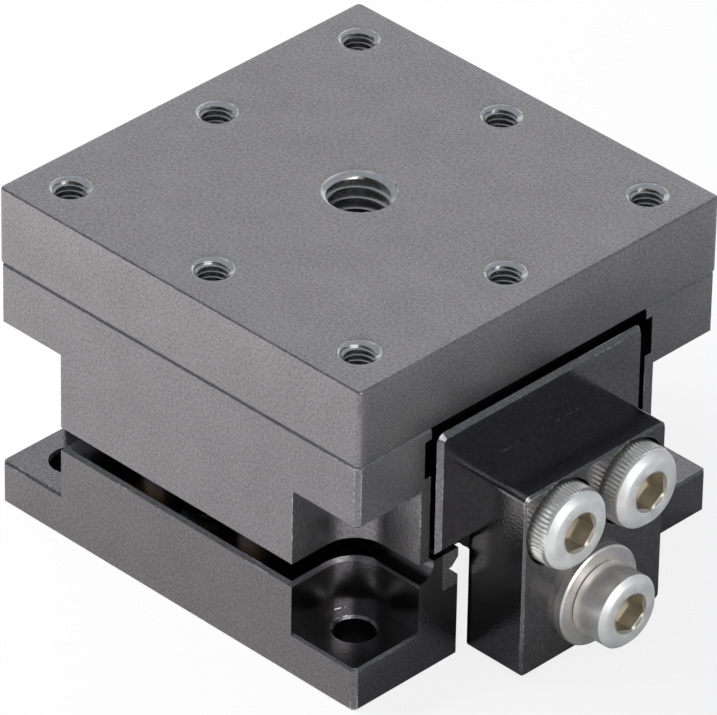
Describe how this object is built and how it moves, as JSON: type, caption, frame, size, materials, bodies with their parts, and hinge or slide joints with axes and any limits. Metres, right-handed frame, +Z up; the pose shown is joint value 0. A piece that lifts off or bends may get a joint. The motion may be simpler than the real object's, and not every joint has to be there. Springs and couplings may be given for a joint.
{
  "type": "vertical translation stage",
  "caption": "Compact square lift stage: a hex-key screw draws a crossed-roller wedge under a tapped table, which rises on guide posts above a slotted base with corner feet.",
  "frame": {"origin": "centre of the base's underside", "axes": "+Z up, along the table's travel; +X towards the adjuster block; +Y to the right seen from the -X end"},
  "size_m": [0.0504, 0.04, 0.03],
  "materials": {
    "body_anodised": "fine bead-blasted, dark grey anodised",
    "dark_anodised": "fine bead-blasted, near-black anodised",
    "ground_steel": "hardened and ground bearing steel",
    "stainless": "bright turned stainless",
    "spring_steel": "drawn spring wire",
    "cage_brass": "thin punched strip",
    "bronze": "turned bronze"
  },
  "bodies": {
    "base": {"base_plate": "body_anodised", "threaded_insert": "bronze", "guide_posts": "ground_steel", "base_rail_left": "ground_steel", "base_rail_right": "ground_steel", "lower_spring_pin_left": "ground_steel", "lower_spring_pin_right": "ground_steel", "return_spring_left": "spring_steel", "return_spring_right": "spring_steel"},
    "slider": {"wedge_slider": "ground_steel", "end_plate": "dark_anodised", "adjuster_block": "dark_anodised", "adjuster_washer": "stainless", "block_screw_left": "stainless", "block_screw_right": "stainless"},
    "screw": {"adjusting_screw": "stainless"},
    "lower_cages": {"lower_cage_left": "cage_brass", "lower_cage_right": "cage_brass", "lower_rollers_left": "ground_steel", "lower_rollers_right": "ground_steel"},
    "upper_cages": {"upper_cage_left": "cage_brass", "upper_cage_right": "cage_brass", "upper_rollers_left": "ground_steel", "upper_rollers_right": "ground_steel"},
    "table": {"lift_frame": "body_anodised", "guide_bushes": "bronze", "table_plate": "body_anodised", "table_screws": "stainless", "frame_rail_left": "ground_steel", "frame_rail_right": "ground_steel", "upper_spring_pin_left": "ground_steel", "upper_spring_pin_right": "ground_steel"}
  },
  "joints": [
    {"name": "slider_slide", "type": "slide", "parent": "base", "child": "slider", "axis": [-1, 0, 0], "range_m": [-0.006, 0.006]},
    {"name": "adjusting_screw_turn", "type": "hinge", "parent": "slider", "child": "screw", "pos_m": [0.02, 0, 0.005], "axis": [-1, 0, 0], "range_deg": [-3086, 3086]},
    {"name": "table_lift", "type": "slide", "parent": "base", "child": "table", "axis": [0, 0, 1], "range_m": [-0.0012, 0.0012], "deforming": ["return_spring_left", "return_spring_right"]},
    {"name": "lower_cage_slide", "type": "slide", "parent": "base", "child": "lower_cages", "axis": [-1, 0, 0], "range_m": [-0.003, 0.003]},
    {"name": "upper_cage_slide", "type": "slide", "parent": "table", "child": "upper_cages", "axis": [-0.9806, 0, -0.1961], "range_m": [-0.00307, 0.00307]}
  ],
  "couplings": [
    {"joint": "adjusting_screw_turn", "follows": "slider_slide", "rad_per_m": 8976},
    {"joint": "table_lift", "follows": "slider_slide", "ratio": 0.2},
    {"joint": "lower_cage_slide", "follows": "slider_slide", "ratio": 0.5},
    {"joint": "upper_cage_slide", "follows": "slider_slide", "ratio": 0.5099}
  ]
}
